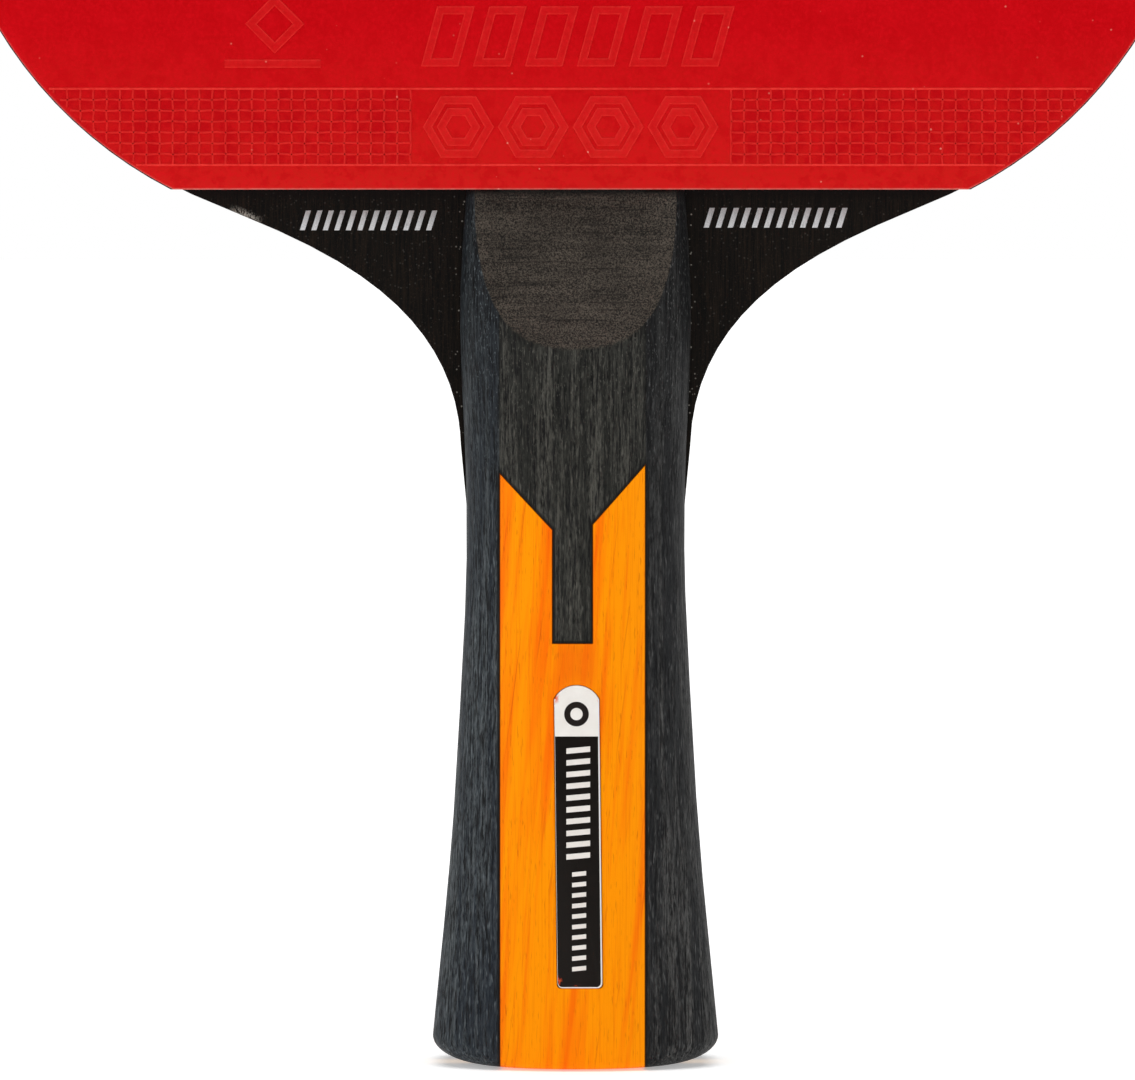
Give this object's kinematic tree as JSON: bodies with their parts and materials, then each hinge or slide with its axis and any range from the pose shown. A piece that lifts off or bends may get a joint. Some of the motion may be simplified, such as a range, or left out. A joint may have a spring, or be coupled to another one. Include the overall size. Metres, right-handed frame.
{
  "type": "table tennis paddle",
  "caption": "Shakehand table tennis paddle with a flared wooden handle, a laminated blade and inverted rubber, red on one side and black on the other.",
  "frame": {"origin": "where the head's centreline meets the flat butt of the handle, on the blade's middle plane", "axes": "+Z along the handle towards the head, -Y out of the front (red) hitting face, X across the width"},
  "size_m": [0.1502, 0.023, 0.2571],
  "materials": {
    "core_wood": "sanded, unfinished",
    "medial_wood": "sanded, unfinished",
    "carbon_cloth": "woven, resin-wetted",
    "black_stained_wood": "stained black, thin satin lacquer",
    "glue": "dried latex film",
    "sponge": "fine closed-cell foam, matte",
    "red_rubber": "smooth, satin",
    "black_rubber": "smooth, satin",
    "edge_tape": "thin woven self-adhesive tape, matte",
    "charcoal_stained_wood": "open pored, stained charcoal, matte",
    "orange_stained_wood": "stained orange, matte",
    "dark_inlay_wood": "stained dark grey-brown, sanded, matte",
    "badge_white": "moulded, satin",
    "badge_black": "printed, gloss"
  },
  "bodies": {
    "root": {"core_ply": "core_wood", "medial_ply_front": "medial_wood", "medial_ply_back": "medial_wood", "carbon_layer_front": "carbon_cloth", "carbon_layer_back": "carbon_cloth", "face_ply_front": "black_stained_wood", "face_ply_back": "black_stained_wood", "glue_film_front": "glue", "glue_film_back": "glue", "sponge_front": "sponge", "sponge_back": "sponge", "topsheet_front": "red_rubber", "topsheet_back": "black_rubber", "edge_tape": "edge_tape", "grip_left_strip_front": "charcoal_stained_wood", "grip_left_strip_back": "charcoal_stained_wood", "grip_right_strip_front": "charcoal_stained_wood", "grip_right_strip_back": "charcoal_stained_wood", "grip_orange_panel_front": "orange_stained_wood", "grip_orange_panel_back": "orange_stained_wood", "grip_dark_inlay_front": "dark_inlay_wood", "grip_dark_inlay_back": "dark_inlay_wood", "badge_plate": "badge_white", "badge_panel": "badge_black"}
  },
  "joints": []
}
